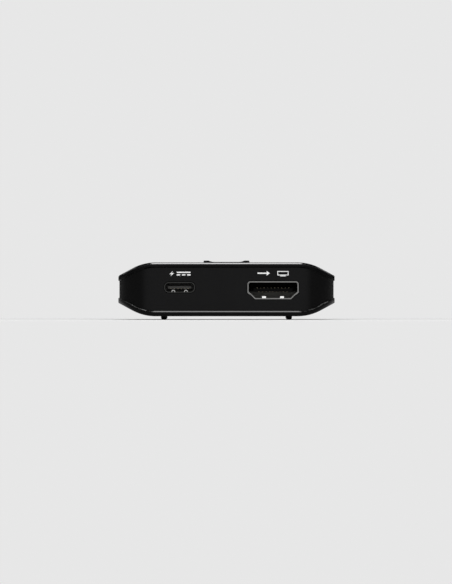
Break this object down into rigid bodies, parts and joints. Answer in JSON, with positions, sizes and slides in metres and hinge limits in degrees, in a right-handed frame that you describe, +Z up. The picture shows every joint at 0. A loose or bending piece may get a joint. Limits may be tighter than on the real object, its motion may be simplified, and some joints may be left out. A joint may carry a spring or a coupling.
{
  "type": "hdmi splitter",
  "caption": "Flat black signal splitter with sloping wings: an input and a power inlet in front, outputs behind, and a scooped push button on top.",
  "frame": {"origin": "on the table, under the middle of the case; the foot strips stand at z = 0", "axes": "+X along the front, towards the input receptacle's side; +Y from the front to the rear outputs; +Z up"},
  "size_m": [0.062, 0.056, 0.017],
  "materials": {
    "cover_metal": "black, fine satin, bevelled rims",
    "frame_plastic": "black, moulded, smooth matt",
    "foot_rubber": "black silicone rubber",
    "screw_steel": "black zinc",
    "board_laminate": "dark solder mask over glass laminate",
    "shell_metal": "nickel plated sheet",
    "insulator_plastic": "black moulded insulator",
    "contact_gold": "gold plated",
    "button_plastic": "black, fine satin",
    "switch_plastic": "black",
    "switch_metal": "tinned sheet",
    "chip_resin": "black moulding resin",
    "thermal_rubber": "grey silicone pad",
    "sink_metal": "black anodised",
    "coil_ferrite": "pressed ferrite powder",
    "crystal_metal": "plated lid",
    "tank_resin": "amber moulding resin",
    "capacitor_ceramic": "tan ceramic",
    "resistor_resin": "black glaze",
    "lamp_resin": "clear resin",
    "lens_clear": "clear polycarbonate"
  },
  "bodies": {
    "case": {"top_cover": "cover_metal", "bottom_cover": "cover_metal", "middle_frame": "frame_plastic", "left_foot_strip": "foot_rubber", "right_foot_strip": "foot_rubber", "cover_screws": "screw_steel", "circuit_board": "board_laminate", "hdmi_in_shell": "shell_metal", "hdmi_out_1_shell": "shell_metal", "hdmi_out_2_shell": "shell_metal", "usb_c_shell": "shell_metal", "hdmi_in_insulator": "insulator_plastic", "hdmi_out_1_insulator": "insulator_plastic", "hdmi_out_2_insulator": "insulator_plastic", "usb_c_insulator": "insulator_plastic", "hdmi_in_contacts": "contact_gold", "hdmi_out_1_contacts": "contact_gold", "hdmi_out_2_contacts": "contact_gold", "usb_c_contacts": "contact_gold", "switch_base": "switch_plastic", "switch_plate": "switch_metal", "switch_terminals": "switch_metal", "switch_dome": "switch_metal", "splitter_chip": "chip_resin", "voltage_regulator": "chip_resin", "memory_chip": "chip_resin", "surge_guards": "chip_resin", "thermal_pad": "thermal_rubber", "heat_sink": "sink_metal", "power_inductor": "coil_ferrite", "crystal": "crystal_metal", "tank_capacitors": "tank_resin", "ceramic_capacitors": "capacitor_ceramic", "resistors": "resistor_resin", "power_lamp": "lamp_resin", "light_lens": "lens_clear"},
    "button": {"button_cap": "button_plastic"},
    "plunger": {"switch_plunger": "switch_plastic"}
  },
  "joints": [
    {"name": "button_press", "type": "slide", "parent": "case", "child": "button", "axis": [0, 0, -1], "range_m": [0, 0.0003], "stiffness_N_per_m": 2000},
    {"name": "plunger_travel", "type": "slide", "parent": "case", "child": "plunger", "axis": [0, 0, -1], "range_m": [0, 0.0003], "deforming": ["switch_dome"]}
  ],
  "couplings": [
    {"joint": "plunger_travel", "follows": "button_press", "ratio": 1}
  ]
}
